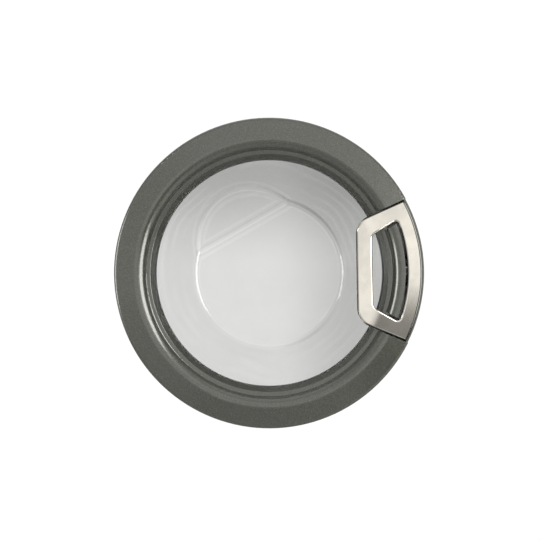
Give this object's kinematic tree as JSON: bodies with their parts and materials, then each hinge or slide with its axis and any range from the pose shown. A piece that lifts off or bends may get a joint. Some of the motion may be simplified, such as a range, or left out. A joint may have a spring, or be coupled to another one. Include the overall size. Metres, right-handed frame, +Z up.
{
  "type": "washing machine door",
  "caption": "Round front-loader door: graphite bezel round a glass bowl with a slanted flat, a silver loop handle that works a latch hook, and a concealed hinge with a bolt-on bracket",
  "frame": {"origin": "centre of the hinge bracket's two bolt holes, on its rear face that meets the cabinet", "axes": "+Z up along the hinge pin, -Y out of the door's front, +X from the hinge towards the handle"},
  "size_m": [0.465, 0.1129, 0.465],
  "materials": {
    "graphite_paint": "graphite metallic paint with a fine flake, satin gloss",
    "grey_plastic": "moulded light grey plastic, fine texture",
    "dark_plastic": "moulded black plastic",
    "silver_handle": "satin silver finish with a faint brushed grain",
    "door_glass": "clear pressed glass",
    "zinc_steel": "zinc plated steel",
    "nylon": "natural nylon",
    "spring_steel": "drawn spring wire"
  },
  "bodies": {
    "hinge": {"hinge_bracket": "zinc_steel", "hinge_bush_upper": "nylon", "hinge_bush_lower": "nylon"},
    "door": {"outer_ring": "graphite_paint", "inner_frame": "grey_plastic", "glass_bowl": "door_glass", "frame_screws": "zinc_steel", "hinge_leaf": "zinc_steel", "hinge_leaf_screws": "zinc_steel", "hinge_pin": "zinc_steel", "hinge_pin_clip": "spring_steel", "handle_pin": "zinc_steel", "handle_pin_clip": "spring_steel", "handle_spring": "spring_steel", "hook_pin": "zinc_steel", "hook_pin_clip": "spring_steel", "hook_spring": "spring_steel"},
    "handle": {"handle_grip": "silver_handle", "handle_back": "dark_plastic", "handle_screws": "zinc_steel"},
    "hook": {"latch_hook": "zinc_steel"}
  },
  "joints": [
    {"name": "door_swing", "type": "hinge", "parent": "hinge", "child": "door", "pos_m": [-0.023, -0.029, 0], "axis": [0, 0, -1], "range_deg": [0, 105]},
    {"name": "handle_pull", "type": "hinge", "parent": "door", "child": "handle", "pos_m": [0.413, -0.033, 0], "axis": [0, 0, 1], "range_deg": [0, 14], "stiffness_Nm_per_rad": 1.5, "deforming": ["handle_spring"]},
    {"name": "hook_turn", "type": "hinge", "parent": "door", "child": "hook", "pos_m": [0.408, -0.021, 0], "axis": [0, 0, 1], "range_deg": [0, 22.5], "deforming": ["hook_spring"]}
  ],
  "couplings": [
    {"joint": "hook_turn", "follows": "handle_pull", "ratio": 1.6}
  ]
}
